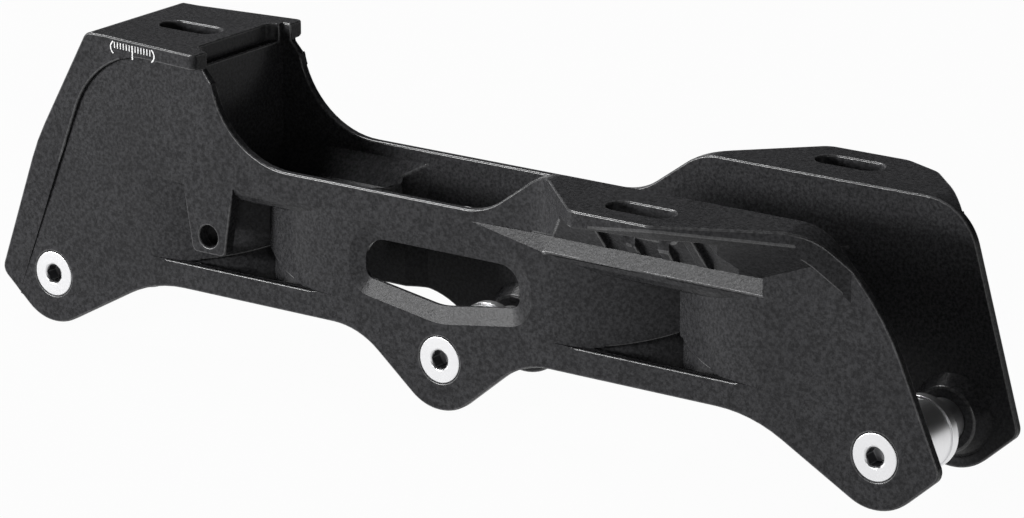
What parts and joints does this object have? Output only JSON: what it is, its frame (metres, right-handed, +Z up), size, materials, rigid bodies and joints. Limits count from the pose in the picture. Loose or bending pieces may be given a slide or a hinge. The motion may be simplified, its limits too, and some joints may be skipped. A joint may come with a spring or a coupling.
{
  "type": "inline skate frame",
  "caption": "Cast one-piece inline skate frame with a raised heel deck, staggered front boot decks, side windows and removable wheel axles carrying turned spacers.",
  "frame": {"origin": "centre of the footprint, level with the lowest points of the axle lobes, under the middle axle", "axes": "+X to the toe along the row of wheels, +Y to the left-hand side, +Z up to the boot"},
  "size_m": [0.2631, 0.077, 0.0745],
  "materials": {
    "casting": "black satin powder coat",
    "axle_steel": "bright turned",
    "turned_aluminium": "bright turned"
  },
  "bodies": {
    "frame": {"frame_body": "casting"},
    "axle_bolt_rear": {"axle_bolt_rear": "axle_steel"},
    "axle_spacer_rear": {"axle_spacer_rear": "turned_aluminium"},
    "axle_bolt_middle": {"axle_bolt_middle": "axle_steel"},
    "axle_spacer_middle": {"axle_spacer_middle": "turned_aluminium"},
    "axle_bolt_front": {"axle_bolt_front": "axle_steel"},
    "axle_spacer_front": {"axle_spacer_front": "turned_aluminium"}
  },
  "joints": [
    {"name": "rear_axle_withdrawal", "type": "slide", "parent": "frame", "child": "axle_bolt_rear", "axis": [0, -1, 0], "range_m": [0, 0.05]},
    {"name": "rear_spacer_spin", "type": "hinge", "parent": "frame", "child": "axle_spacer_rear", "pos_m": [-0.1155, 0, 0.0122], "axis": [0, 1, 0], "continuous": true},
    {"name": "middle_axle_withdrawal", "type": "slide", "parent": "frame", "child": "axle_bolt_middle", "axis": [0, -1, 0], "range_m": [0, 0.05]},
    {"name": "middle_spacer_spin", "type": "hinge", "parent": "frame", "child": "axle_spacer_middle", "pos_m": [0, 0, 0.0122], "axis": [0, 1, 0], "continuous": true},
    {"name": "front_axle_withdrawal", "type": "slide", "parent": "frame", "child": "axle_bolt_front", "axis": [0, -1, 0], "range_m": [0, 0.05]},
    {"name": "front_spacer_spin", "type": "hinge", "parent": "frame", "child": "axle_spacer_front", "pos_m": [0.1155, 0, 0.0122], "axis": [0, 1, 0], "continuous": true}
  ]
}
